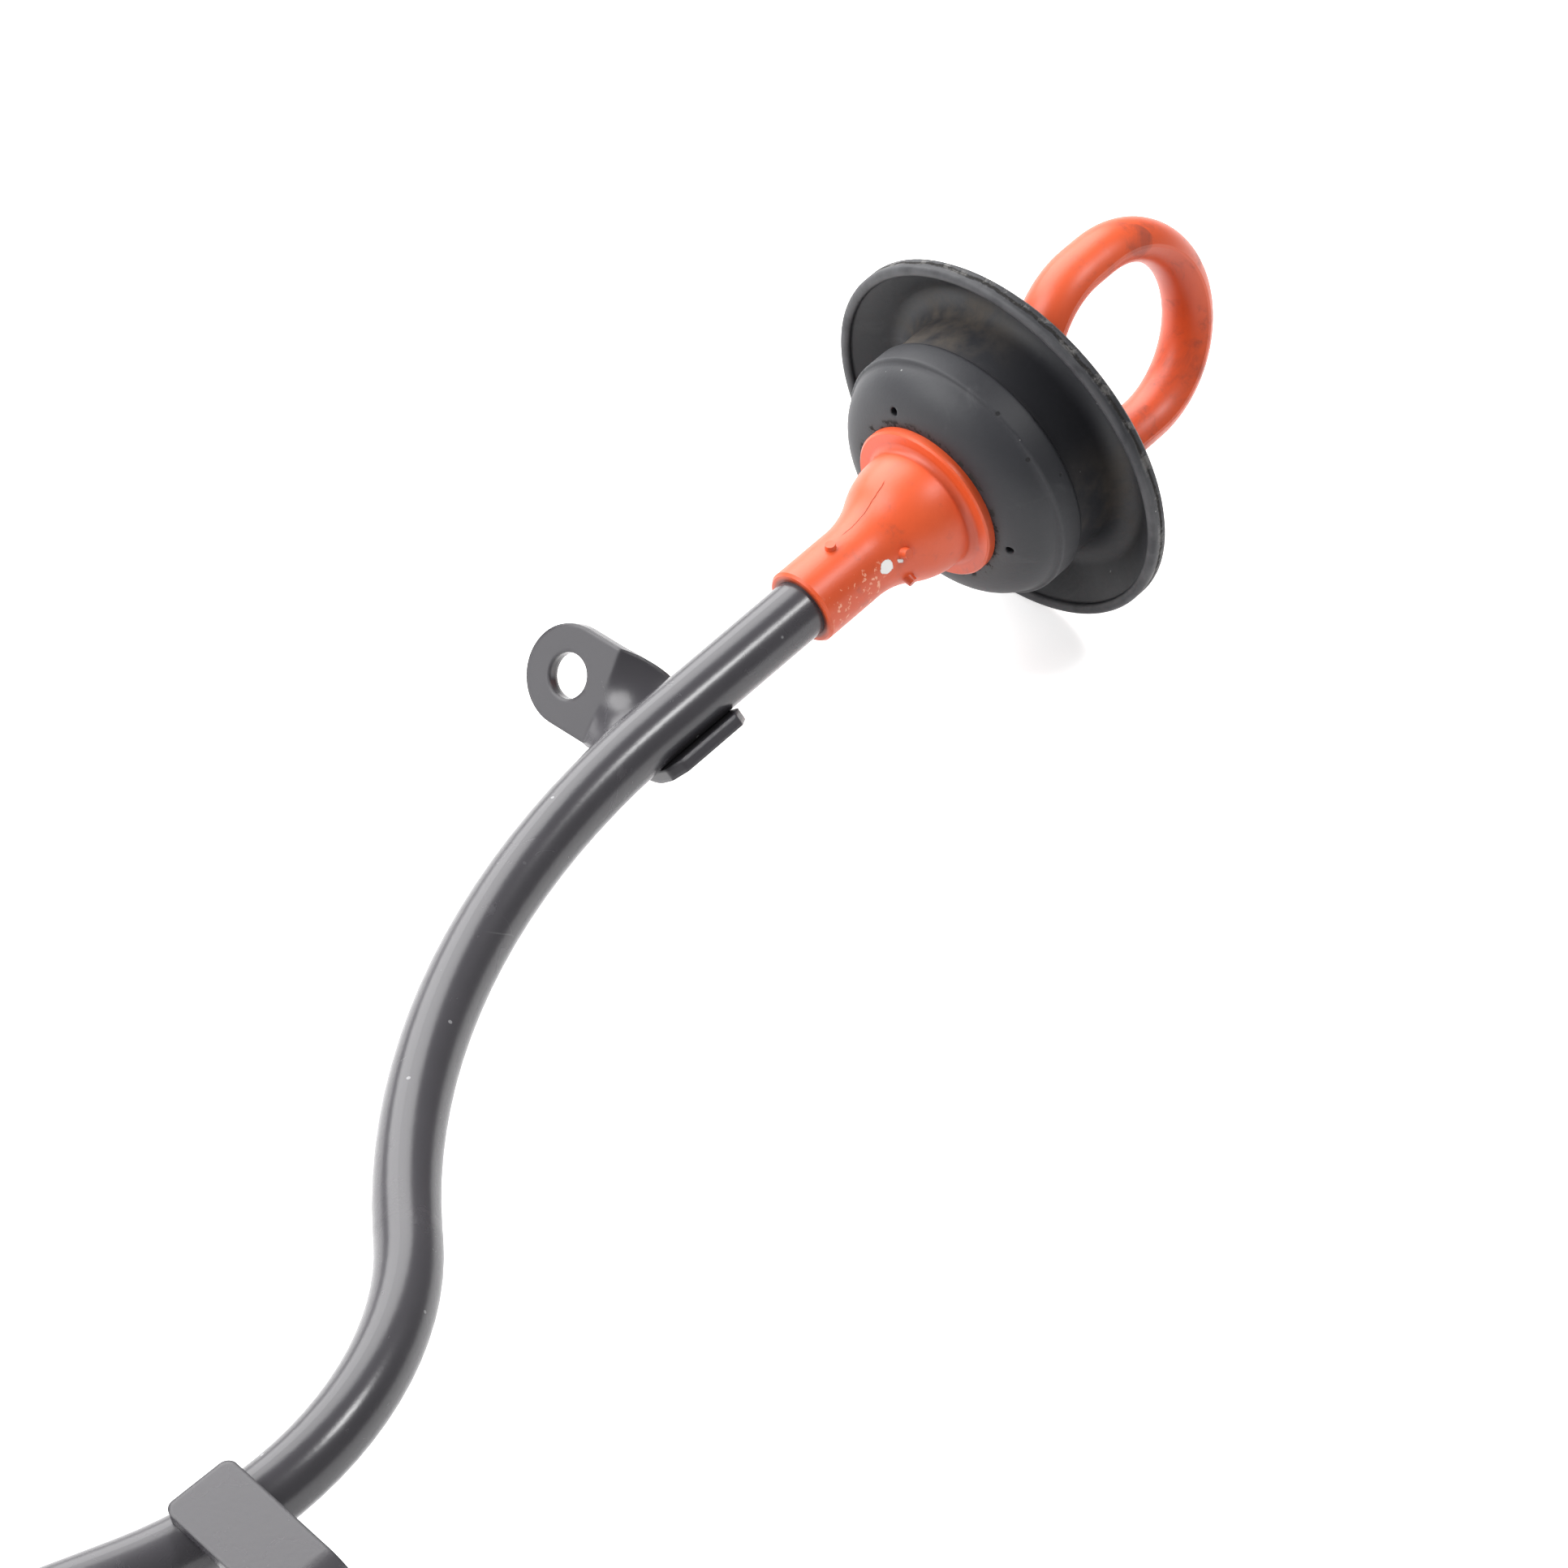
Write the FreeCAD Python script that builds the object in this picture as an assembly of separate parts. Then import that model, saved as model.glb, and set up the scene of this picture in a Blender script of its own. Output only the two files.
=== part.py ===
import FreeCAD, Part
import math
import os

# Oil dipstick tube: bent guide tube, two brackets, funnel, rubber seal and the dipstick in it.
# Millimetres. Built with the funnel mouth at the origin, the pull of the dipstick along +X and
# the bends in the XY plane, then laid down on the floor as it comes to rest.

# Guide tube
TUBE_OD = 9.5
TUBE_WALL = 1.1
TUBE_IN_FUNNEL = 17.0
RUN_1 = 31.0
BEND_1_RADIUS = 123.0
BEND_1_ANGLE = 49.0
RUN_2 = 2.0
BEND_2_RADIUS = 50.0
BEND_2_ANGLE = 78.0
BEND_2_TURN = 180.0
RUN_3 = 13.8
BEND_3_RADIUS = 60.0
BEND_3_ANGLE = 24.0
BEND_3_TURN = -29.7
RUN_4 = 44.0
BEAD_OD = 13.0
BEAD_LENGTH = 3.0
BEAD_FROM_END = 26.0
SEAL_GROOVE_DEPTH = 0.7
SEAL_GROOVE_WIDTH = 2.6
SEAL_GROOVE_FROM_END = 13.0
LOWER_SEAL_CORD = 2.2

# Upper bracket
SHEET = 2.0
UPPER_STATION = 27.4
UPPER_WIDTH = 15.6
UPPER_ROLL = 9.2
UPPER_LIP_ANGLE = 42.0
UPPER_LIP_LENGTH = 4.6
UPPER_LIP_CHAMFER = 2.0
TWIST_START = 7.0
TWIST_END = 15.0
TWIST_ANGLE = 50.0
TWIST_STEPS = 6
UPPER_HOLE_OFFSET = 22.0
BOLT_HOLE = 7.0

# Lower bracket
LOWER_BEND_ANGLE = 62.5
LOWER_WIDTH = 11.0
LOWER_ROLL = 9.2
LOWER_YAW = 8.0
LOWER_OVERHANG = 3.4
LOWER_FLAT = 17.0
LOWER_CORNER = 1.6
LEG_BEND_RADIUS = 8.0
LEG_ANGLE = 72.0
LEG_LENGTH = 14.17
LOWER_HOLE = 5.5

# Funnel
SLEEVE_OD = 12.4
SLEEVE_LENGTH = 10.5
BELL_OD = 20.0
BELL_END = 26.4
FLANGE_OD = 26.0
FLANGE_FRONT = 27.5
FLANGE_BACK = 29.0
FLANGE_FILLET = 1.0
NECK_OD = 20.0
FUNNEL_TOP = 51.5
BARB_OD = 22.6
BARB_LENGTH = 3.0
PLUG_BORE = 16.0
CONE_TOP = 27.0
PIP_HEIGHT = 0.8
PIP_ROOT = 2.0
PIP_DIAMETER = 2.2
PIP_STATIONS = ((16.2, 77.0), (16.4, 122.0), (7.8, 6.0))

# Rubber seal
DOME_RADIUS = 7.8
DOME_FLAT_R = 13.2
SEAL_WALL = 2.8
DOME_LENGTH = 5.2
BAND_OD = 42.8
BAND_LENGTH = 5.2
BAND_ROUND = 0.5
SEAL_NECK_OD = 41.2
CUP_FLOOR = 49.6
CUP_FILLET = 3.0
BRIM_OD = 63.4
BRIM_FRONT = 43.8
BRIM_BACK = 46.8
BRIM_LIP = 1.7
SEAL_TOP = 53.6
SLEEVE_WALL = 2.8
VENT_HOLE = 1.4
VENT_ANGLES = (-14.0, 106.0, 226.0)
VENT_RADIUS_AT = 15.6

# Dipstick
RING_CENTRE = 71.3
RING_HALF_LENGTH = 17.35
RING_HALF_WIDTH = 15.7
RING_BAND = 9.6
RING_THICKNESS = 7.0
RING_CREASE = 0.5
RING_ROLL = -4.9
CAP_OD = 21.0
CAP_THICKNESS = 3.0
PLUG_TIP = 31.0
PLUG_NOSE = 3.0
PLUG_SEAL_AT = 41.0
PLUG_SEAL_CORD = 2.0
CABLE_OD = 2.6
CABLE_IN_PLUG = 14.0
CABLE_PAST_TUBE = 16.0
TIP_OD = 3.8
TIP_LENGTH = 14.0
TIP_FLAT = 2.2

# Fits
RUNNING_FIT = 0.05
PRESS_FIT = 0.0
SEAL_TOUCH = 0.02

# Resting attitude on the floor
REST_RISE = 7.14
REST_ROLL = -9.2

V = FreeCAD.Vector
AXIS = V(1, 0, 0)
ORIGIN = V(0, 0, 0)
TUBE_R = TUBE_OD / 2
BORE_R = TUBE_R - TUBE_WALL
RUBBER_BORE_R = NECK_OD / 2
OVERCUT = TUBE_WALL
PLUG_R = PLUG_BORE / 2 - RUNNING_FIT
PLUG_BED_R = PLUG_BORE / 2 - SEAL_TOUCH - PLUG_SEAL_CORD


def turned(points):
    """Solid of revolution about the pull axis from (station, radius) corners and arcs.

    A corner is (x, r). An arc end is (x, r, xm, rm) with a point the arc passes through.
    """
    edges = []
    last = V(points[0][0], points[0][1], 0)
    for p in list(points[1:]) + [points[0][:2]]:
        here = V(p[0], p[1], 0)
        if (here - last).Length < 1e-6:
            continue
        if len(p) == 4:
            edges.append(Part.Arc(last, V(p[2], p[3], 0), here).toShape())
        else:
            edges.append(Part.LineSegment(last, here).toShape())
        last = here
    face = Part.Face(Part.Wire(edges))
    return face.revolve(ORIGIN, AXIS, 360)


def arc_mid(cx, cr, radius, angle):
    """Point on a circle in the (station, radius) plane."""
    a = math.radians(angle)
    return (cx + radius * math.cos(a), cr + radius * math.sin(a))


class Path:
    """Tube centre line: straight runs joined by tangent arcs, turned about the run between bends."""

    def __init__(self, start, heading, side):
        self.at = start
        self.heading = heading
        self.side = side
        self.edges = []

    def run(self, length):
        end = self.at + self.heading * length
        self.edges.append(Part.LineSegment(self.at, end).toShape())
        self.at = end

    def bend(self, radius, angle, turn=0.0):
        if turn:
            self.side = FreeCAD.Rotation(self.heading, turn).multVec(self.side)
        centre = self.at + self.side * radius
        spin = self.heading.cross(self.side)
        half = FreeCAD.Rotation(spin, angle / 2)
        full = FreeCAD.Rotation(spin, angle)
        arm = self.at - centre
        middle = centre + half.multVec(arm)
        end = centre + full.multVec(arm)
        self.edges.append(Part.Arc(self.at, middle, end).toShape())
        self.at = end
        self.heading = full.multVec(self.heading)
        self.side = full.multVec(self.side)


def upper_path(start_x, second_bend):
    """Centre line from a station on the pull axis to a given angle of the second bend."""
    path = Path(V(start_x, 0, 0), V(-1, 0, 0), V(0, -1, 0))
    path.run(start_x + RUN_1)
    path.bend(BEND_1_RADIUS, BEND_1_ANGLE)
    path.run(RUN_2)
    path.bend(BEND_2_RADIUS, second_bend, BEND_2_TURN)
    return path


def tube_path(start_x, past_end):
    """Centre line from a station on the pull axis down to the lower end."""
    path = upper_path(start_x, BEND_2_ANGLE)
    path.run(RUN_3)
    path.bend(BEND_3_RADIUS, BEND_3_ANGLE, BEND_3_TURN)
    path.run(RUN_4 + past_end)
    return path


def rod(path, radius):
    """Round bar swept along a centre line."""
    first = path.edges[0]
    start = first.valueAt(first.FirstParameter)
    ring = Part.Wire(Part.makeCircle(radius, start, first.tangentAt(first.FirstParameter)))
    return Part.Wire(path.edges).makePipeShell([ring], True, False)


def placed(shape, at, x_dir, z_dir):
    """Moves a shape from its own frame to a place whose x and z directions are given."""
    y_dir = z_dir.cross(x_dir)
    m = FreeCAD.Matrix(
        x_dir.x, y_dir.x, z_dir.x, at.x,
        x_dir.y, y_dir.y, z_dir.y, at.y,
        x_dir.z, y_dir.z, z_dir.z, at.z,
        0, 0, 0, 1)
    out = shape.copy()
    out.Placement = FreeCAD.Placement(m).multiply(out.Placement)
    return out


def sheet_strip(mid_line, width):
    """Bent sheet strip swept along a mid line of joined edges in the YZ plane, as wide along X."""
    wire = Part.Wire(mid_line)
    first = mid_line[0]
    start = first.valueAt(first.FirstParameter)
    along = first.tangentAt(first.FirstParameter)
    across = V(1, 0, 0).cross(along)
    corners = []
    for sx, st in ((-1, -1), (1, -1), (1, 1), (-1, 1), (-1, -1)):
        corners.append(start + V(sx * width / 2, 0, 0) + across * (st * SHEET / 2))
    section = Part.makePolygon(corners)
    return wire.makePipeShell([section], True, False)


def make_guide_tube(path, bore_path):
    tube = rod(path, TUBE_R)
    end = path.at
    back = path.heading * -1
    side = path.side
    bead_r = BEAD_OD / 2
    rise = bead_r - TUBE_R
    b0 = BEAD_FROM_END
    b1 = b0 + BEAD_LENGTH
    bead = turned([
        (b0 - rise / 2, TUBE_R - 0.3),
        (b0 - rise / 2, TUBE_R),
        (b0, bead_r - 0.4),
        (b0 + 0.4, bead_r),
        (b1 - 0.4, bead_r),
        (b1, bead_r - 0.4),
        (b1 + rise / 2, TUBE_R),
        (b1 + rise / 2, TUBE_R - 0.3)])
    tube = tube.fuse(placed(bead, end, back, side))
    g0 = SEAL_GROOVE_FROM_END
    g1 = g0 + SEAL_GROOVE_WIDTH
    groove = turned([
        (g0, TUBE_R - SEAL_GROOVE_DEPTH),
        (g0, TUBE_R + 1),
        (g1, TUBE_R + 1),
        (g1, TUBE_R - SEAL_GROOVE_DEPTH)])
    tube = tube.cut(placed(groove, end, back, side))
    return tube.cut(rod(bore_path, BORE_R)).removeSplitter()


def make_lower_o_ring(path):
    cord = LOWER_SEAL_CORD / 2
    mean_r = TUBE_R - SEAL_GROOVE_DEPTH + cord
    at = SEAL_GROOVE_FROM_END + SEAL_GROOVE_WIDTH / 2
    ring = Part.makeTorus(mean_r, cord, V(at, 0, 0), AXIS)
    return placed(ring, path.at, path.heading * -1, path.side)


def make_upper_bracket(envelope):
    mid_r = TUBE_R + PRESS_FIT + SHEET / 2
    a0 = math.radians(-90 - UPPER_LIP_ANGLE)
    a1 = math.radians(-90 - UPPER_LIP_ANGLE / 2)
    lip_in = V(0, mid_r * math.cos(a0), mid_r * math.sin(a0))
    lip_dir = V(0, math.sin(a0), -math.cos(a0))
    bottom = V(0, 0, -mid_r)
    lip_out = lip_in + lip_dir * UPPER_LIP_LENGTH
    twist_at = V(0, TWIST_START, -mid_r)
    strip = sheet_strip([
        Part.LineSegment(lip_out, lip_in).toShape(),
        Part.Arc(lip_in, V(0, mid_r * math.cos(a1), mid_r * math.sin(a1)), bottom).toShape(),
        Part.LineSegment(bottom, twist_at).toShape()], UPPER_WIDTH)
    for sx in (-1, 1):
        edge = sx * UPPER_WIDTH / 2
        normal = V(1, 0, 0).cross(lip_dir)
        corner = lip_out + V(edge, 0, 0)
        tip = [
            corner + lip_dir - normal * SHEET,
            corner + V(-sx * UPPER_LIP_CHAMFER, 0, 0) + lip_dir * 0.01 - normal * SHEET,
            corner - lip_dir * UPPER_LIP_CHAMFER - normal * SHEET,
            corner + V(sx, 0, 0) - lip_dir * UPPER_LIP_CHAMFER - normal * SHEET,
            corner + V(sx, 0, 0) + lip_dir - normal * SHEET]
        tip.append(tip[0])
        strip = strip.cut(Part.Face(Part.makePolygon(tip)).extrude(normal * SHEET * 2))
    sections = []
    for k in range(TWIST_STEPS + 1):
        part = k / TWIST_STEPS
        y = TWIST_START + (TWIST_END - TWIST_START) * part
        a = math.radians(TWIST_ANGLE * part)
        across = V(math.cos(a), 0, math.sin(a))
        thick = V(-math.sin(a), 0, math.cos(a))
        centre = V(0, y, -mid_r)
        ring = []
        for sx, st in ((-1, -1), (1, -1), (1, 1), (-1, 1), (-1, -1)):
            ring.append(centre + across * (sx * UPPER_WIDTH / 2) + thick * (st * SHEET / 2))
        sections.append(Part.makePolygon(ring))
    twist = Part.makeLoft(sections, True, False)
    r = UPPER_WIDTH / 2
    outline = Part.Wire([
        Part.LineSegment(V(-r, TWIST_END, 0), V(-r, UPPER_HOLE_OFFSET, 0)).toShape(),
        Part.Arc(V(-r, UPPER_HOLE_OFFSET, 0), V(0, UPPER_HOLE_OFFSET + r, 0),
                 V(r, UPPER_HOLE_OFFSET, 0)).toShape(),
        Part.LineSegment(V(r, UPPER_HOLE_OFFSET, 0), V(r, TWIST_END, 0)).toShape(),
        Part.LineSegment(V(r, TWIST_END, 0), V(-r, TWIST_END, 0)).toShape()])
    tab = Part.Face(outline).extrude(V(0, 0, SHEET))
    tab.translate(V(0, 0, -SHEET / 2))
    hole = Part.makeCylinder(BOLT_HOLE / 2, SHEET * 3, V(0, UPPER_HOLE_OFFSET, -SHEET * 1.5), V(0, 0, 1))
    tab = tab.cut(hole)
    tab.rotate(ORIGIN, V(0, 1, 0), -TWIST_ANGLE)
    tab.translate(V(0, 0, -mid_r))
    bracket = strip.fuse(twist).fuse(tab).removeSplitter()
    bracket.rotate(ORIGIN, AXIS, UPPER_ROLL)
    bracket.translate(V(-UPPER_STATION, 0, 0))
    return bracket.cut(envelope)


def make_lower_bracket(at, heading, envelope):
    mid_z = TUBE_R + PRESS_FIT + SHEET / 2
    a = math.radians(LEG_ANGLE)
    h = a / 2
    left = V(0, LOWER_OVERHANG, mid_z)
    flat_end = V(0, -LOWER_FLAT, mid_z)
    r = LEG_BEND_RADIUS
    bend_mid = flat_end + V(0, -r * math.sin(h), -r * (1 - math.cos(h)))
    bend_end = flat_end + V(0, -r * math.sin(a), -r * (1 - math.cos(a)))
    leg_dir = V(0, -math.cos(a), -math.sin(a))
    leg_end = bend_end + leg_dir * LEG_LENGTH
    strip = sheet_strip([
        Part.LineSegment(left, flat_end).toShape(),
        Part.Arc(flat_end, bend_mid, bend_end).toShape(),
        Part.LineSegment(bend_end, leg_end).toShape()], LOWER_WIDTH)
    half = LOWER_WIDTH / 2
    for sx in (-1, 1):
        rr = LOWER_CORNER
        corner = Part.makeBox(rr + 1, rr + 1, SHEET * 4, V(0, 0, -SHEET * 2))
        corner = corner.cut(Part.makeCylinder(rr, SHEET * 4, V(0, 0, -SHEET * 2), V(0, 0, 1)))
        if sx < 0:
            corner.rotate(ORIGIN, V(0, 0, 1), 90)
        corner.translate(V(sx * (half - rr), LOWER_OVERHANG - rr, mid_z))
        strip = strip.cut(corner)
    normal = leg_dir.cross(V(1, 0, 0))
    pin_at = leg_end - leg_dir * half
    tool = Part.makeBox(LOWER_WIDTH + SHEET, half + SHEET, SHEET * 4, V(-half - SHEET / 2, 0, -SHEET * 2))
    tool = tool.cut(Part.makeCylinder(half, SHEET * 4, V(0, 0, -SHEET * 2), V(0, 0, 1)))
    strip = strip.cut(placed(tool, pin_at, leg_dir.cross(normal), normal))
    hole = Part.makeCylinder(LOWER_HOLE / 2, SHEET * 4, pin_at - normal * SHEET * 2, normal)
    strip = strip.cut(hole)
    strip.rotate(ORIGIN, V(0, 0, 1), LOWER_YAW)
    strip.rotate(ORIGIN, AXIS, LOWER_ROLL)
    strip = placed(strip, at, heading * -1, V(0, 0, 1))
    return strip.cut(envelope)


def make_funnel():
    sleeve_r = SLEEVE_OD / 2
    bell_r = BELL_OD / 2
    flange_r = FLANGE_OD / 2
    neck_r = NECK_OD / 2
    barb_r = BARB_OD / 2
    rise = bell_r - sleeve_r
    mid_x = (SLEEVE_LENGTH + BELL_END) / 2
    mid_r = (sleeve_r + bell_r) / 2
    sag = rise * 0.16
    outer = [
        (0, TUBE_R + PRESS_FIT),
        (0, sleeve_r - 0.4),
        (0.4, sleeve_r),
        (SLEEVE_LENGTH, sleeve_r),
        (mid_x, mid_r, (SLEEVE_LENGTH + mid_x) / 2, (sleeve_r + mid_r) / 2 - sag),
        (BELL_END, bell_r, (BELL_END + mid_x) / 2, (bell_r + mid_r) / 2 + sag),
        (FLANGE_FRONT, bell_r + FLANGE_FILLET,
         FLANGE_FRONT - FLANGE_FILLET * 0.35, bell_r + FLANGE_FILLET * 0.3),
        (FLANGE_FRONT, flange_r - 0.3),
        (FLANGE_FRONT + 0.3, flange_r),
        (FLANGE_BACK, flange_r),
        (FLANGE_BACK, neck_r),
        (FUNNEL_TOP - BARB_LENGTH, neck_r),
        (FUNNEL_TOP - BARB_LENGTH, barb_r),
        (FUNNEL_TOP - BARB_LENGTH + 0.8, barb_r),
        (FUNNEL_TOP, neck_r),
        (FUNNEL_TOP, PLUG_BORE / 2),
        (CONE_TOP, PLUG_BORE / 2),
        (TUBE_IN_FUNNEL + 1.0, BORE_R),
        (TUBE_IN_FUNNEL, BORE_R),
        (TUBE_IN_FUNNEL, TUBE_R + PRESS_FIT)]
    funnel = turned(outer)
    for x, angle in PIP_STATIONS:
        pip = Part.makeCone(PIP_DIAMETER / 2, PIP_DIAMETER * 0.36, PIP_ROOT + PIP_HEIGHT)
        spin = FreeCAD.Rotation(AXIS, angle)
        part = min(max((x - SLEEVE_LENGTH) / (BELL_END - SLEEVE_LENGTH), 0.0), 1.0)
        surface = sleeve_r + rise * (3 * part ** 2 - 2 * part ** 3)
        pip.translate(V(x, 0, surface - PIP_ROOT))
        pip.Placement = FreeCAD.Placement(ORIGIN, spin).multiply(pip.Placement)
        funnel = funnel.fuse(pip)
    return funnel.removeSplitter()


def make_grommet():
    front = FLANGE_BACK
    dome_x = front + DOME_RADIUS
    band_r = BAND_OD / 2
    neck_r = SEAL_NECK_OD / 2
    brim_r = BRIM_OD / 2
    step_r = DOME_FLAT_R + math.sqrt(DOME_RADIUS ** 2 - (DOME_RADIUS - DOME_LENGTH) ** 2)
    step_x = front + DOME_LENGTH
    band0 = step_x + BAND_ROUND
    band1 = step_x + BAND_LENGTH
    b = BAND_ROUND
    inner_r = DOME_RADIUS - SEAL_WALL
    sleeve_r = RUBBER_BORE_R + SLEEVE_WALL
    wall_r = DOME_FLAT_R + inner_r
    d = arc_mid(dome_x, DOME_FLAT_R, DOME_RADIUS, 145)
    di = arc_mid(dome_x, DOME_FLAT_R, inner_r, 135)
    rim_in = brim_r - BRIM_LIP
    rim_x = BRIM_FRONT + 1.0
    f = CUP_FILLET
    cup_x = CUP_FLOOR - f
    cup_r = neck_r + f
    reach = math.hypot(rim_x - cup_x, rim_in - cup_r)
    leave = math.degrees(math.atan2(rim_in - cup_r, rim_x - cup_x) - math.acos(f / reach))
    profile = [
        (front, RUBBER_BORE_R),
        (front, DOME_FLAT_R),
        (step_x, step_r) + d,
        (band0, band_r - b) + (step_x + b * 0.3, step_r + 0.1),
        (band0 + b, band_r) + arc_mid(band0 + b, band_r - b, b, 135),
        (band1 - b, band_r),
        (band1, band_r - b) + arc_mid(band1 - b, band_r - b, b, 45),
        (band1, neck_r),
        (cup_x, neck_r),
        arc_mid(cup_x, cup_r, f, leave) + arc_mid(cup_x, cup_r, f, (leave - 90) / 2),
        (rim_x, rim_in),
        (BRIM_FRONT, rim_in + 0.7, BRIM_FRONT + 0.25, rim_in + 0.15),
        (BRIM_FRONT, brim_r - 0.7),
        (BRIM_FRONT + 0.7, brim_r, BRIM_FRONT + 0.205, brim_r - 0.205),
        (BRIM_BACK - 0.5, brim_r),
        (BRIM_BACK, brim_r - 0.5),
        (SEAL_TOP - 0.4, neck_r - 0.4),
        (SEAL_TOP, neck_r - 1.0),
        (SEAL_TOP, wall_r),
        (dome_x, wall_r),
        (front + SEAL_WALL, DOME_FLAT_R) + di,
        (front + SEAL_WALL, sleeve_r),
        (FUNNEL_TOP - BARB_LENGTH, sleeve_r),
        (FUNNEL_TOP - BARB_LENGTH, RUBBER_BORE_R)]
    seal = turned(profile)
    rise = VENT_RADIUS_AT - DOME_FLAT_R
    x = dome_x - math.sqrt(DOME_RADIUS ** 2 - rise ** 2)
    out = V(x - dome_x, 0, rise).normalize()
    for angle in VENT_ANGLES:
        pin = Part.makeCylinder(VENT_HOLE / 2, SEAL_WALL + 2, V(x, 0, VENT_RADIUS_AT) + out, out * -1)
        pin.rotate(ORIGIN, AXIS, angle)
        seal = seal.cut(pin)
    return seal


def make_handle():
    cap0 = FUNNEL_TOP
    cap1 = cap0 + CAP_THICKNESS
    cap_r = CAP_OD / 2
    s0 = PLUG_SEAL_AT - PLUG_SEAL_CORD * 0.6
    s1 = PLUG_SEAL_AT + PLUG_SEAL_CORD * 0.6
    cable_r = CABLE_OD / 2
    deep = PLUG_TIP + CABLE_IN_PLUG
    plug = turned([
        (PLUG_TIP, cable_r),
        (PLUG_TIP, PLUG_R - PLUG_NOSE),
        (PLUG_TIP + PLUG_NOSE, PLUG_R),
        (s0, PLUG_R),
        (s0, PLUG_BED_R),
        (s1, PLUG_BED_R),
        (s1, PLUG_R),
        (cap0, PLUG_R),
        (cap0, cap_r - 0.6),
        (cap0 + 0.6, cap_r),
        (cap1 - 1.0, cap_r),
        (cap1, cap_r - 1.0),
        (cap1, 0),
        (deep, 0),
        (deep, cable_r)])
    straight = RING_HALF_LENGTH - RING_HALF_WIDTH
    r = RING_HALF_WIDTH
    x0 = RING_CENTRE - straight
    x1 = RING_CENTRE + straight
    loop = Part.Wire([
        Part.LineSegment(V(x0, 0, r), V(x1, 0, r)).toShape(),
        Part.Arc(V(x1, 0, r), V(x1 + r, 0, 0), V(x1, 0, -r)).toShape(),
        Part.LineSegment(V(x1, 0, -r), V(x0, 0, -r)).toShape(),
        Part.Arc(V(x0, 0, -r), V(x0 - r, 0, 0), V(x0, 0, r)).toShape()])
    hw = RING_BAND / 2
    ht = RING_THICKNESS / 2
    c = RING_CREASE / 2
    section = Part.Wire([
        Part.LineSegment(V(x0, -hw, r - c), V(x0, -hw, r + c)).toShape(),
        Part.Arc(V(x0, -hw, r + c), V(x0, 0, r + ht), V(x0, hw, r + c)).toShape(),
        Part.LineSegment(V(x0, hw, r + c), V(x0, hw, r - c)).toShape(),
        Part.Arc(V(x0, hw, r - c), V(x0, 0, r - ht), V(x0, -hw, r - c)).toShape()])
    ring = loop.makePipeShell([section], True, False)
    web = Part.makeBox(RING_CENTRE - RING_HALF_LENGTH - cap0, RING_BAND - 1.0, CAP_OD * 0.7,
                       V(cap0 + 0.5, -(RING_BAND - 1.0) / 2, -CAP_OD * 0.35))
    handle = plug.fuse(ring).fuse(web).removeSplitter()
    handle.rotate(ORIGIN, AXIS, RING_ROLL)
    return handle


def make_plug_o_ring():
    cord = PLUG_SEAL_CORD / 2
    return Part.makeTorus(PLUG_BED_R + cord, cord, V(PLUG_SEAL_AT, 0, 0), AXIS)


def make_gauge_tip(path):
    r = TIP_OD / 2
    tip = turned([
        (0, 0),
        (0, r - 0.5),
        (0.5, r),
        (TIP_LENGTH - 1.5, r),
        (TIP_LENGTH, r - 1.0),
        (TIP_LENGTH, 0)])
    for z in (TIP_FLAT / 2, -TIP_FLAT / 2 - TIP_OD):
        corner = V(TIP_LENGTH * 0.2, -TIP_OD, z)
        flat = Part.makeBox(TIP_LENGTH * 0.5, TIP_OD * 2, TIP_OD, corner)
        tip = tip.cut(flat)
    return placed(tip, path.at, path.heading, path.side)


tube_line = tube_path(TUBE_IN_FUNNEL, 0.0)
bore_line = tube_path(TUBE_IN_FUNNEL + OVERCUT, OVERCUT)
cable_line = tube_path(PLUG_TIP + CABLE_IN_PLUG, CABLE_PAST_TUBE)
envelope = rod(tube_line, TUBE_R + PRESS_FIT)
strap_line = upper_path(TUBE_IN_FUNNEL, LOWER_BEND_ANGLE)

nodes = {
    "guide_tube": make_guide_tube(tube_line, bore_line),
    "lower_o_ring": make_lower_o_ring(tube_line),
    "upper_bracket": make_upper_bracket(envelope),
    "lower_bracket": make_lower_bracket(strap_line.at, strap_line.heading, envelope),
    "dipstick_funnel": make_funnel(),
    "sealing_grommet": make_grommet(),
    "dipstick_handle": make_handle(),
    "plug_o_ring": make_plug_o_ring(),
    "dipstick_blade": rod(cable_line, CABLE_OD / 2),
    "gauge_tip": make_gauge_tip(cable_line),
}

# Laid on the floor: rolled about the pull axis, raised at the ring, lowest point at zero height
rest = FreeCAD.Placement(ORIGIN, FreeCAD.Rotation(V(0, 1, 0), -REST_RISE))
rest = rest.multiply(FreeCAD.Placement(ORIGIN, FreeCAD.Rotation(AXIS, REST_ROLL)))
laid = {}
for name, shape in nodes.items():
    shape.Placement = rest.multiply(shape.Placement)
    laid[name] = shape
box = Part.makeCompound(list(laid.values())).optimalBoundingBox(True, False)
shift = V(-(box.XMin + box.XMax) / 2, -(box.YMin + box.YMax) / 2, -box.ZMin)

os.makedirs("parts", exist_ok=True)
for name, shape in laid.items():
    shape.translate(shift)
    shape.exportStep("parts/" + name + ".step")
    extent = shape.optimalBoundingBox(True, False)
    print(name, shape.isValid(), len(shape.Solids), round(shape.Volume, 1), extent)
print("shift", shift)
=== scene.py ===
import math

import bmesh
import bpy
from mathutils import Matrix, Vector


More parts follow.
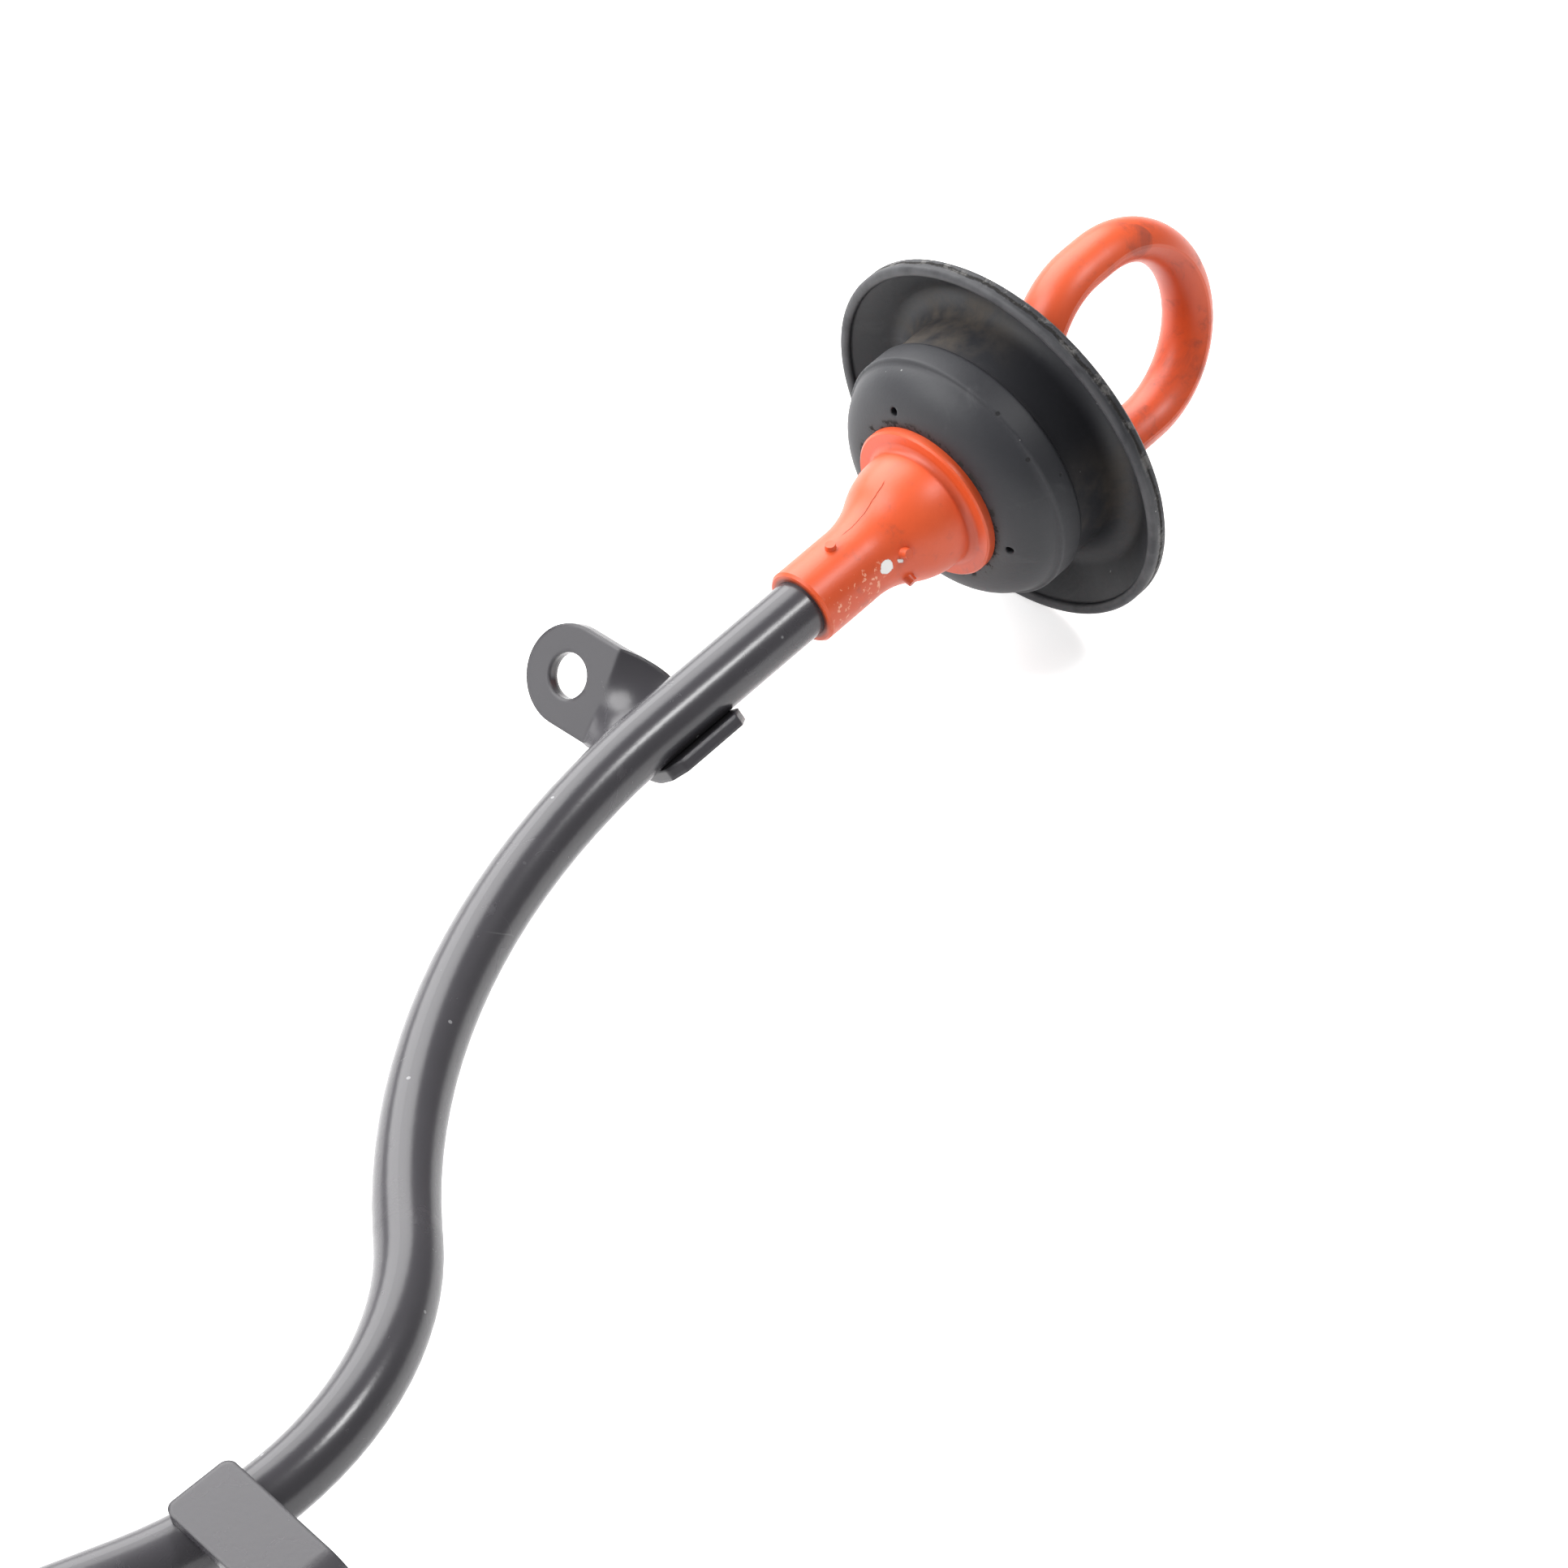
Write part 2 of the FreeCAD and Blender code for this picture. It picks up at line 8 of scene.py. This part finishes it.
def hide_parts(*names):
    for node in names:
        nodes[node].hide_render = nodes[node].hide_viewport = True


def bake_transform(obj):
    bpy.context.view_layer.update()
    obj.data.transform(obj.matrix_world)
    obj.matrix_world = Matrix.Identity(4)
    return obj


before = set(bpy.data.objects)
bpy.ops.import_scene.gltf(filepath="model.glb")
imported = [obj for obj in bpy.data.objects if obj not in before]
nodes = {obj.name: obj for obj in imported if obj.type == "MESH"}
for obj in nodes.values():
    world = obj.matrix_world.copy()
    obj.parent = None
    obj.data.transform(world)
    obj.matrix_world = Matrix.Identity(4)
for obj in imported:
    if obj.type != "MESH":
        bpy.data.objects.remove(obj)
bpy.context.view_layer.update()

MM = 0.001

# Funnel mouth in the row frame, and the pull axis with the two directions square to it
MOUTH = Vector((0.08677240, 0.02855113, 0.02599980))
REST_RISE = 7.14
REST_ROLL = 9.2
LAID = (Matrix.Rotation(math.radians(-REST_RISE), 3, "Y")
        @ Matrix.Rotation(math.radians(-REST_ROLL), 3, "X"))
PULL = LAID @ Vector((1, 0, 0))
SIDE = LAID @ Vector((0, 1, 0))
RISE = LAID @ Vector((0, 0, 1))


def at_pull(station, far, turn):
    """Row-frame point at a station on the pull axis, a distance from it and an angle about it."""
    a = math.radians(turn)
    return MOUTH + MM * (PULL * station + far * (RISE * math.cos(a) - SIDE * math.sin(a)))


# Centre and radius in mm of the paint dab's two drops and of the oil smears on the ring
DAB = ((at_pull(12.8, 6.5, 80.0), 1.2), (at_pull(15.1, 6.9, 84.0), 0.5))
SMEARS = ((at_pull(80.4, 12.0, 167.0), 6.0), (at_pull(85.2, 6.0, 166.0), 6.0),
          (at_pull(78.4, 16.5, 9.0), 3.5), (at_pull(70.0, 16.0, 170.0), 6.0),
          (at_pull(87.0, 8.0, 20.0), 4.0))

# Radii in m over which the edges of pressed sheet and of moulded rubber are rolled
SHEET_EDGE = 0.0009
RUBBER_EDGE = 0.0006


class Shade:
    """One procedural material, with short names for the nodes that it is made of."""

    def __init__(self, name):
        self.mat = bpy.data.materials.new(name)
        self.mat.use_nodes = True
        self.tree = self.mat.node_tree
        self.tree.nodes.clear()
        out = self.add("ShaderNodeOutputMaterial")
        self.bsdf = self.add("ShaderNodeBsdfPrincipled")
        self.tree.links.new(self.bsdf.outputs[0], out.inputs[0])
        self.place = self.add("ShaderNodeTexCoord").outputs["Object"]

    def add(self, kind, **settings):
        node = self.tree.nodes.new(kind)
        for key, value in settings.items():
            setattr(node, key, value)
        return node

    def put(self, socket, value):
        if isinstance(value, bpy.types.NodeSocket):
            self.tree.links.new(value, socket)
        elif isinstance(value, tuple) and len(value) == 3 and socket.type == "RGBA":
            socket.default_value = (*value, 1.0)
        else:
            socket.default_value = value

    def set(self, **values):
        for key, value in values.items():
            self.put(self.bsdf.inputs[key.replace("_", " ")], value)

    def calc(self, op, a, b=0.0, c=0.0):
        node = self.add("ShaderNodeMath", operation=op)
        for socket, value in zip(node.inputs, (a, b, c)):
            self.put(socket, value)
        return node.outputs[0]

    def vec(self, op, a, b):
        node = self.add("ShaderNodeVectorMath", operation=op)
        self.put(node.inputs[0], a)
        self.put(node.inputs[1], b)
        return node.outputs["Value" if op in ("DOT_PRODUCT", "LENGTH", "DISTANCE") else "Vector"]

    def noise(self, scale, detail=4.0, rough=0.55, at=None, distort=0.0):
        node = self.add("ShaderNodeTexNoise")
        self.put(node.inputs["Vector"], at or self.place)
        for key, value in (("Scale", scale), ("Detail", detail), ("Roughness", rough),
                           ("Distortion", distort)):
            node.inputs[key].default_value = value
        return node.outputs["Fac"]

    def cells(self, scale, feature="F1", at=None):
        node = self.add("ShaderNodeTexVoronoi", feature=feature)
        self.put(node.inputs["Vector"], at or self.place)
        node.inputs["Scale"].default_value = scale
        return node

    def step(self, value, low, high):
        """0 below low and 1 above high, or the other way round where low is the larger."""
        node = self.add("ShaderNodeMapRange", interpolation_type="SMOOTHSTEP")
        self.put(node.inputs["Value"], value)
        first, second, start, end = (low, high, 0.0, 1.0) if low < high else (high, low, 1.0, 0.0)
        for key, number in (("From Min", first), ("From Max", second),
                            ("To Min", start), ("To Max", end)):
            node.inputs[key].default_value = number
        return node.outputs["Result"]

    def span(self, value, low, high, edge):
        """1 between low and high, with soft edges."""
        return self.calc("MULTIPLY", self.step(value, low - edge, low + edge),
                         self.step(value, high + edge, high - edge))

    def both(self, *masks):
        total = masks[0]
        for mask in masks[1:]:
            total = self.calc("MULTIPLY", total, mask)
        return total

    def most(self, *masks):
        total = masks[0]
        for mask in masks[1:]:
            total = self.calc("MAXIMUM", total, mask)
        return total

    def mix(self, factor, a, b):
        node = self.add("ShaderNodeMix", data_type="RGBA")
        self.put(node.inputs["Factor"], factor)
        colours = [s for s in node.inputs if s.type == "RGBA"]
        self.put(colours[0], a)
        self.put(colours[1], b)
        return [s for s in node.outputs if s.type == "RGBA"][0]

    def level(self, factor, low, high):
        """A number that goes from low to high with a mask."""
        return self.calc("MULTIPLY_ADD", factor, high - low, low)

    def bump(self, height, depth, normal=None):
        node = self.add("ShaderNodeBump")
        node.inputs["Strength"].default_value = 1.0
        node.inputs["Distance"].default_value = depth
        self.put(node.inputs["Height"], height)
        if normal is not None:
            self.put(node.inputs["Normal"], normal)
        return node.outputs["Normal"]

    def eased(self, radius):
        """Surface normal with the edges rolled over a radius."""
        node = self.add("ShaderNodeBevel", samples=6)
        node.inputs["Radius"].default_value = radius
        return node.outputs["Normal"]

    def round(self):
        """Station along the pull axis, distance from it, and angle about it, in mm and degrees."""
        arm = self.vec("SUBTRACT", self.place, tuple(MOUTH))
        along = self.calc("MULTIPLY", self.vec("DOT_PRODUCT", arm, tuple(PULL)), 1000.0)
        y = self.calc("MULTIPLY", self.vec("DOT_PRODUCT", arm, tuple(SIDE)), 1000.0)
        z = self.calc("MULTIPLY", self.vec("DOT_PRODUCT", arm, tuple(RISE)), 1000.0)
        far = self.calc("SQRT", self.calc("ADD", self.calc("MULTIPLY", y, y),
                                          self.calc("MULTIPLY", z, z)))
        turn = self.calc("MULTIPLY", self.calc("ARCTAN2", self.calc("MULTIPLY", y, -1.0), z),
                         180.0 / math.pi)
        return along, far, turn

    def spot(self, centre, radius, ragged=0.0, scale=900.0):
        """1 inside a ball about a point, with a ragged edge."""
        gap = self.calc("MULTIPLY", self.vec("DISTANCE", self.place, tuple(centre)), 1000.0)
        if ragged:
            rough = self.calc("MULTIPLY_ADD", self.noise(scale, 2.0), 2 * ragged, -ragged)
            gap = self.calc("ADD", gap, rough)
        return self.step(gap, radius + 0.08, radius - 0.08)

    def specks(self, scale, size, share):
        """Small round specks on a share of the cells of a grid of that scale."""
        cell = self.cells(scale)
        near = self.step(cell.outputs["Distance"], size, size * 0.6)
        red = self.add("ShaderNodeSeparateColor")
        self.put(red.inputs[0], cell.outputs["Color"])
        return self.calc("MULTIPLY", near, self.step(red.outputs[0], share + 0.002, share - 0.002))


def black_paint(name, edge):
    """Satin black paint on steel with grain, dust, chips and rubs, its edges rolled to a radius."""
    s = Shade(name)
    cloud = s.noise(45.0, 5.0)
    fine = s.noise(1400.0, 3.0)
    rub = s.step(s.noise(120.0, 6.0, 0.65, distort=1.2), 0.60, 0.78)
    dust = s.specks(420.0, 0.16, 0.05)
    chips = s.specks(170.0, 0.10, 0.035)
    marks = s.step(s.cells(75.0, "DISTANCE_TO_EDGE").outputs["Distance"], 0.012, 0.004)
    marks = s.both(marks, s.step(s.noise(38.0, 2.0), 0.60, 0.68))
    colour = s.mix(cloud, (0.038, 0.036, 0.041), (0.058, 0.055, 0.062))
    colour = s.mix(s.calc("MULTIPLY", rub, 0.35), colour, (0.090, 0.087, 0.095))
    colour = s.mix(s.calc("MULTIPLY", marks, 0.5), colour, (0.13, 0.13, 0.135))
    colour = s.mix(s.calc("MULTIPLY", dust, 0.55), colour, (0.34, 0.34, 0.35))
    colour = s.mix(chips, colour, (0.42, 0.41, 0.40))
    rough = s.level(cloud, 0.22, 0.31)
    rough = s.calc("ADD", rough, s.calc("MULTIPLY", rub, 0.12))
    height = s.calc("MULTIPLY_ADD", fine, 0.6, s.calc("MULTIPLY", chips, -1.0))
    s.set(Base_Color=colour, Roughness=rough, IOR=1.5,
          Normal=s.bump(height, 0.00002, s.eased(edge) if edge else None))
    return s.mat


def orange(name, detail):
    """Moulded orange plastic, stained by oil and dust. detail adds what one moulding shows."""
    s = Shade(name)
    cloud = s.noise(60.0, 4.0)
    fine = s.noise(1600.0, 3.0)
    colour = s.mix(cloud, (0.57, 0.066, 0.015), (0.69, 0.096, 0.025))
    grime = s.both(s.step(s.noise(260.0, 7.0, 0.7), 0.54, 0.74), 0.45)
    colour = s.mix(grime, colour, (0.25, 0.05, 0.03))
    colour = s.mix(s.calc("MULTIPLY", s.specks(520.0, 0.14, 0.05), 0.5), colour, (0.10, 0.03, 0.02))
    height = s.calc("MULTIPLY", fine, 0.5)
    colour, height, rough = detail(s, colour, height, s.level(cloud, 0.34, 0.46))
    s.set(Base_Color=colour, Roughness=rough, IOR=1.49, Normal=s.bump(height, 0.00003))
    return s.mat


def funnel_detail(s, colour, height, rough):
    """Parting line, scuffs, painted shade in the gap round the tube at the mouth and in the groove
    in front of the flange, and a paint dab.
    """
    along, far, turn = s.round()
    wander = s.calc("MULTIPLY_ADD", s.noise(300.0, 2.0), 8.0, -4.0)
    line = s.both(s.span(s.calc("ADD", turn, wander), 2.4, 3.4, 0.7),
                  s.span(along, 11.0, 21.0, 0.5))
    colour = s.mix(s.calc("MULTIPLY", line, 0.7), colour, (0.16, 0.025, 0.015))
    scuff = s.step(s.noise(900.0, 4.0, 0.6), 0.57, 0.63)
    scuff = s.both(scuff, s.span(along, 1.0, 12.0, 1.2), s.span(turn, 60.0, 118.0, 12.0))
    colour = s.mix(s.calc("MULTIPLY", scuff, 0.7), colour, (0.92, 0.50, 0.34))
    # Painted shade: the gap round the tube in the funnel mouth is darkened.
    mouth_gap_shade = s.both(s.step(far, 5.6, 4.9), s.step(along, 1.2, 0.2))
    colour = s.mix(s.calc("MULTIPLY", mouth_gap_shade, 0.8), colour, (0.06, 0.015, 0.01))
    # Painted shade: the concave groove in front of the flange is darkened.
    flange_groove_shade = s.both(s.span(along, 26.3, 27.6, 0.35), s.step(far, 11.6, 10.8))
    colour = s.mix(s.calc("MULTIPLY", flange_groove_shade, 0.30), colour, (0.32, 0.05, 0.025))
    paint = s.most(*[s.spot(at, size, 0.5) for at, size in DAB])
    colour = s.mix(paint, colour, (0.86, 0.86, 0.84))
    height = s.calc("ADD", height, s.calc("MULTIPLY", line, -3.0))
    height = s.calc("ADD", height, s.calc("MULTIPLY", paint, 4.0))
    return colour, height, s.calc("ADD", rough, s.calc("MULTIPLY", scuff, 0.15))


def ring_detail(s, colour, height, rough):
    """Oil smears on the ring and dirt where it meets the rubber."""
    along, _, _ = s.round()
    smear = s.step(s.noise(150.0, 6.0, 0.68, distort=0.8), 0.46, 0.70)
    place = s.most(*[s.spot(at, size, 3.0, 120.0) for at, size in SMEARS])
    smear = s.both(smear, place)
    colour = s.mix(s.calc("MULTIPLY", smear, 0.50), colour, (0.14, 0.035, 0.025))
    root = s.both(s.step(along, 60.0, 54.0), s.step(s.noise(240.0, 5.0), 0.40, 0.66))
    colour = s.mix(s.calc("MULTIPLY", root, 0.7), colour, (0.16, 0.04, 0.025))
    return colour, height, s.calc("ADD", rough, s.calc("MULTIPLY", smear, 0.1))


def grommet_rubber():
    """Charcoal rubber: soiled cup, worn lip, ragged crack round the brim, pits by the flange."""
    s = Shade("grommet_rubber")
    along, far, turn = s.round()
    cloud = s.noise(55.0, 5.0)
    fine = s.noise(1500.0, 4.0)
    colour = s.mix(cloud, (0.0150, 0.0155, 0.0190), (0.0260, 0.0265, 0.0310))
    bloom = s.step(s.noise(95.0, 6.0, 0.65, distort=1.0), 0.55, 0.80)
    colour = s.mix(s.calc("MULTIPLY", bloom, 0.3), colour, (0.085, 0.086, 0.090))
    cup = s.both(s.span(along, 40.0, 50.0, 1.0), s.step(far, 27.5, 21.5))
    sides = s.most(s.span(turn, -70.0, 10.0, 22.0),
                   s.calc("MULTIPLY", s.span(turn, 80.0, 130.0, 18.0), 0.7))
    soil = s.both(cup, sides, s.step(s.noise(170.0, 6.0, 0.65), 0.36, 0.66))
    colour = s.mix(s.calc("MULTIPLY", soil, 0.6), colour, (0.105, 0.086, 0.066))
    lip = s.both(s.span(along, 43.5, 44.4, 0.25), s.step(far, 29.7, 30.3))
    lip = s.both(lip, s.step(s.noise(200.0, 4.0), 0.30, 0.60))
    colour = s.mix(s.calc("MULTIPLY", lip, 0.30), colour, (0.12, 0.12, 0.125))
    wander = s.calc("MULTIPLY_ADD", s.noise(150.0, 5.0, 0.7), 1.6, -0.8)
    drawn = s.calc("ADD", along, wander)
    crack = s.both(s.span(drawn, 45.1, 45.6, 0.15), s.step(far, 30.3, 31.0))
    torn = s.both(s.step(far, 30.6, 31.3), s.step(along, 44.5, 45.2),
                  s.step(s.noise(420.0, 5.0, 0.7), 0.50, 0.62))
    colour = s.mix(crack, colour, (0.012, 0.011, 0.010))
    colour = s.mix(s.calc("MULTIPLY", torn, 0.6), colour, (0.15, 0.145, 0.14))
    seam = s.both(s.step(far, 14.9, 13.7), s.step(along, 33.0, 31.5),
                  s.step(s.noise(650.0, 4.0, 0.6), 0.44, 0.58))
    colour = s.mix(s.calc("MULTIPLY", seam, 0.85), colour, (0.010, 0.009, 0.008))
    pale = s.most(s.specks(300.0, 0.10, 0.035), s.specks(620.0, 0.12, 0.03))
    colour = s.mix(s.calc("MULTIPLY", pale, 0.6), colour, (0.32, 0.32, 0.31))
    pits = s.specks(260.0, 0.13, 0.05)
    colour = s.mix(s.calc("MULTIPLY", pits, 0.7), colour, (0.012, 0.012, 0.012))
    height = s.calc("MULTIPLY_ADD", fine, 0.5, s.calc("MULTIPLY", crack, -6.0))
    height = s.calc("ADD", height, s.calc("MULTIPLY", torn, -2.0))
    height = s.calc("ADD", height, s.calc("MULTIPLY", pits, -1.0))
    rough = s.calc("ADD", s.level(cloud, 0.46, 0.58), s.calc("MULTIPLY", soil, 0.2))
    rough = s.most(rough, s.calc("MULTIPLY", s.most(crack, seam, pits), 0.95))
    s.set(Base_Color=colour, Roughness=rough, IOR=1.42,
          Normal=s.bump(height, 0.00004, s.eased(RUBBER_EDGE)))
    return s.mat


def seal_rubber():
    """Smooth black sealing ring, with a little dust."""
    s = Shade("seal_rubber")
    cloud = s.noise(300.0, 4.0)
    colour = s.mix(cloud, (0.012, 0.012, 0.012), (0.030, 0.030, 0.030))
    s.set(Base_Color=colour, Roughness=s.level(cloud, 0.35, 0.5),
          Normal=s.bump(s.noise(2500.0, 2.0), 0.00001))
    return s.mat


def spring_steel():
    """Oiled wire: bright steel between darker oil in the lay of the strands."""
    s = Shade("spring_steel")
    cloud = s.noise(220.0, 5.0)
    film = s.step(s.noise(90.0, 4.0), 0.42, 0.68)
    colour = s.mix(cloud, (0.40, 0.40, 0.41), (0.56, 0.56, 0.57))
    colour = s.mix(s.calc("MULTIPLY", film, 0.6), colour, (0.20, 0.15, 0.08))
    s.set(Base_Color=colour, Metallic=1.0, Roughness=s.level(cloud, 0.24, 0.40),
          Normal=s.bump(s.noise(1800.0, 3.0), 0.00001))
    return s.mat


sheet_paint = black_paint("black_paint_sheet", SHEET_EDGE)
dress = {
    "guide_tube": black_paint("black_paint_tube", 0.0),
    "upper_bracket": sheet_paint,
    "lower_bracket": sheet_paint,
    "dipstick_funnel": orange("orange_funnel", funnel_detail),
    "dipstick_handle": orange("orange_ring", ring_detail),
    "sealing_grommet": grommet_rubber(),
    "plug_o_ring": seal_rubber(),
}
dress["lower_o_ring"] = dress["plug_o_ring"]
for name, material in dress.items():
    nodes[name].data.materials.clear()
    nodes[name].data.materials.append(material)


class Line:
    """Centre line of the dipstick's wire, in mm from the funnel mouth, as points and headings."""

    def __init__(self, start):
        self.at = Vector((start, 0, 0))
        self.heading = Vector((-1, 0, 0))
        self.side = Vector((0, -1, 0))
        self.stops = [(self.at.copy(), self.heading.copy())]

    def run(self, length, pace):
        count = max(1, round(length / pace))
        first = self.at.copy()
        for k in range(1, count + 1):
            self.at = first + self.heading * (length * k / count)
            self.stops.append((self.at.copy(), self.heading.copy()))

    def bend(self, radius, angle, turn, pace):
        self.side = Matrix.Rotation(math.radians(turn), 3, self.heading) @ self.side
        centre = self.at + self.side * radius
        arm = self.at - centre
        spin = self.heading.cross(self.side)
        ahead, beside = self.heading.copy(), self.side.copy()
        count = max(1, round(radius * math.radians(angle) / pace))
        for k in range(1, count + 1):
            m = Matrix.Rotation(math.radians(angle * k / count), 3, spin)
            self.at = centre + m @ arm
            self.heading = m @ ahead
            self.stops.append((self.at.copy(), self.heading.copy()))
        self.side = m @ beside


# Wire in mm: station of its upper end, straight runs, bends as (radius, angle, turn), and section
WIRE_TOP = 45.0
WIRE_RUNS = (76.0, 2.0, 13.8, 60.0)
WIRE_BENDS = ((123.0, 49.0, 0.0), (50.0, 78.0, 180.0), (60.0, 24.0, -29.7))
WIRE_RADIUS = 1.18
STRAND_SWELL = 0.12
STRANDS = 6
LAY = 11.0
SIDES = 24

# Spacing of the wire's rings, closer on the first run
PACE = 0.8
TOP_PACE = 0.4

# Gauge tip as rings: distance past the wire's end, half width and half thickness, in mm
TIP_RINGS = ((0.0, 1.4, 1.4), (0.0, 1.9, 1.9), (2.8, 1.9, 1.9), (2.8, 1.9, 1.1),
             (9.8, 1.9, 1.1), (9.8, 1.9, 1.9), (12.5, 1.9, 1.9), (14.0, 0.9, 0.9))


def dipstick_wire():
    """Twisted wire from the plug to the gauge tip, with the tip on its end, as one closed mesh."""
    line = Line(WIRE_TOP)
    line.run(WIRE_RUNS[0], TOP_PACE)
    for (radius, angle, turn), length in zip(WIRE_BENDS, WIRE_RUNS[1:]):
        line.bend(radius, angle, turn, PACE)
        line.run(length, PACE)
    rings = []
    mesh = bmesh.new()
    gone = 0.0
    last = None
    across = Vector((0, 0, 1))
    for at, heading in line.stops:
        if last is not None:
            gone += (at - last).length
        last = at
        across = (across - heading * across.dot(heading)).normalized()
        up = heading.cross(across)
        ring = []
        for k in range(SIDES):
            a = 2 * math.pi * k / SIDES
            swell = math.cos(STRANDS * (a - 2 * math.pi * gone / LAY))
            r = WIRE_RADIUS + STRAND_SWELL * swell
            p = at + r * (math.cos(a) * across + math.sin(a) * up)
            ring.append(mesh.verts.new(MOUTH + MM * (LAID @ p)))
        rings.append(ring)
    for gap, wide, thick in TIP_RINGS:
        ring = []
        for k in range(SIDES):
            a = 2 * math.pi * k / SIDES
            c, w = wide * math.cos(a), wide * math.sin(a)
            c = max(-thick, min(thick, c))
            p = last + heading * gap + c * across + w * up
            ring.append(mesh.verts.new(MOUTH + MM * (LAID @ p)))
        rings.append(ring)
    for a, b in zip(rings, rings[1:]):
        for k in range(SIDES):
            n = (k + 1) % SIDES
            mesh.faces.new((a[k], a[n], b[n], b[k]))
    mesh.faces.new(list(reversed(rings[0])))
    mesh.faces.new(rings[-1])
    bmesh.ops.recalc_face_normals(mesh, faces=mesh.faces)
    data = bpy.data.meshes.new("dipstick_wire")
    mesh.to_mesh(data)
    mesh.free()
    for face in data.polygons:
        face.use_smooth = True
    piece = bpy.data.objects.new("dipstick_wire", data)
    bpy.context.scene.collection.objects.link(piece)
    data.materials.append(spring_steel())
    data.set_sharp_from_angle(angle=math.radians(40))
    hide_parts("dipstick_blade", "gauge_tip")
    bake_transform(piece)


dipstick_wire()


# Light that the floor adds for camera and mirror rays, so that it shows white outside the shadow
FLOOR_GLOW = 0.62


def floor_shade():
    """Pale floor that the camera sees as white, darkened only where the object shades it."""
    s = Shade("floor")
    tree = s.tree
    tree.nodes.remove(s.bsdf)
    out = next(n for n in tree.nodes if n.type == "OUTPUT_MATERIAL")
    matte = s.add("ShaderNodeBsdfDiffuse")
    matte.inputs["Color"].default_value = (0.80, 0.80, 0.80, 1.0)
    glow = s.add("ShaderNodeEmission")
    glow.inputs["Color"].default_value = (1.0, 1.0, 1.0, 1.0)
    path = s.add("ShaderNodeLightPath")
    seen = s.most(path.outputs["Is Camera Ray"], path.outputs["Is Glossy Ray"],
                  path.outputs["Is Transmission Ray"])
    s.put(glow.inputs["Strength"], s.calc("MULTIPLY", seen, FLOOR_GLOW))
    both = s.add("ShaderNodeAddShader")
    tree.links.new(matte.outputs[0], both.inputs[0])
    tree.links.new(glow.outputs[0], both.inputs[1])
    tree.links.new(both.outputs[0], out.inputs[0])
    return s.mat


bpy.ops.mesh.primitive_plane_add(size=8.0, location=(0, 0, -0.0003))
floor = bpy.context.object
floor.name = "floor"
floor.data.materials.append(floor_shade())

world = bpy.data.worlds.new("studio")
bpy.context.scene.world = world
world.use_nodes = True
sky = world.node_tree
sky.nodes.clear()
sky_out = sky.nodes.new("ShaderNodeOutputWorld")
ambient = sky.nodes.new("ShaderNodeBackground")
ambient.inputs["Color"].default_value = (1.0, 1.0, 1.0, 1.0)
ambient.inputs["Strength"].default_value = 0.30
white = sky.nodes.new("ShaderNodeBackground")
white.inputs["Color"].default_value = (1.0, 1.0, 1.0, 1.0)
white.inputs["Strength"].default_value = 1.0
rays = sky.nodes.new("ShaderNodeLightPath")
choose = sky.nodes.new("ShaderNodeMixShader")
sky.links.new(rays.outputs["Is Camera Ray"], choose.inputs[0])
sky.links.new(ambient.outputs[0], choose.inputs[1])
sky.links.new(white.outputs[0], choose.inputs[2])
sky.links.new(choose.outputs[0], sky_out.inputs[0])


def lamp(name, at, aim, size, power):
    """Round soft light that faces a point."""
    data = bpy.data.lights.new(name, "AREA")
    data.shape = "DISK"
    data.size = size
    data.energy = power
    ob = bpy.data.objects.new(name, data)
    bpy.context.scene.collection.objects.link(ob)
    ob.location = at
    ob.rotation_euler = (Vector(aim) - Vector(at)).to_track_quat("-Z", "Y").to_euler()


# Softboxes: place and size in m, power in W
AIM = (0.05, 0.0, 0.02)
LAMPS = (("left_softbox", (-0.62, 0.62, 0.95), 0.9, 15.0),
         ("low_softbox", (-1.05, 0.70, 0.46), 0.9, 5.0),
         ("back_softbox", (0.42, 1.02, 0.86), 1.5, 30.0),
         ("right_softbox", (0.50, -0.50, 1.12), 0.26, 6.5))
for name, place, size, power in LAMPS:
    lamp(name, place, AIM, size, power)

# Camera at the photograph's viewpoint: place from the funnel mouth in mm, and axes in the row frame
EYE = MOUTH + MM * Vector((-493.444, -455.576, 569.264))
RIGHT = Vector((0.68058485, -0.73266927, 0.0))
UP = Vector((0.49025143, 0.45540016, 0.74314483))
BACK = Vector((-0.54447938, -0.50577311, 0.66913061))
ROLL = Matrix.Rotation(-0.006, 4, "Z")
AXES = Matrix((RIGHT, UP, BACK)).transposed().to_4x4()
camera = bpy.data.cameras.new("camera")
camera.sensor_width = 36.0
camera.lens = 136.02
camera.shift_x = -0.00259
camera.shift_y = 0.00104
camera.clip_start = 0.01
eye = bpy.data.objects.new("camera", camera)
bpy.context.scene.collection.objects.link(eye)
eye.matrix_world = Matrix.Translation(EYE) @ AXES @ ROLL
bpy.context.scene.camera = eye
bpy.context.scene.view_settings.view_transform = "Standard"
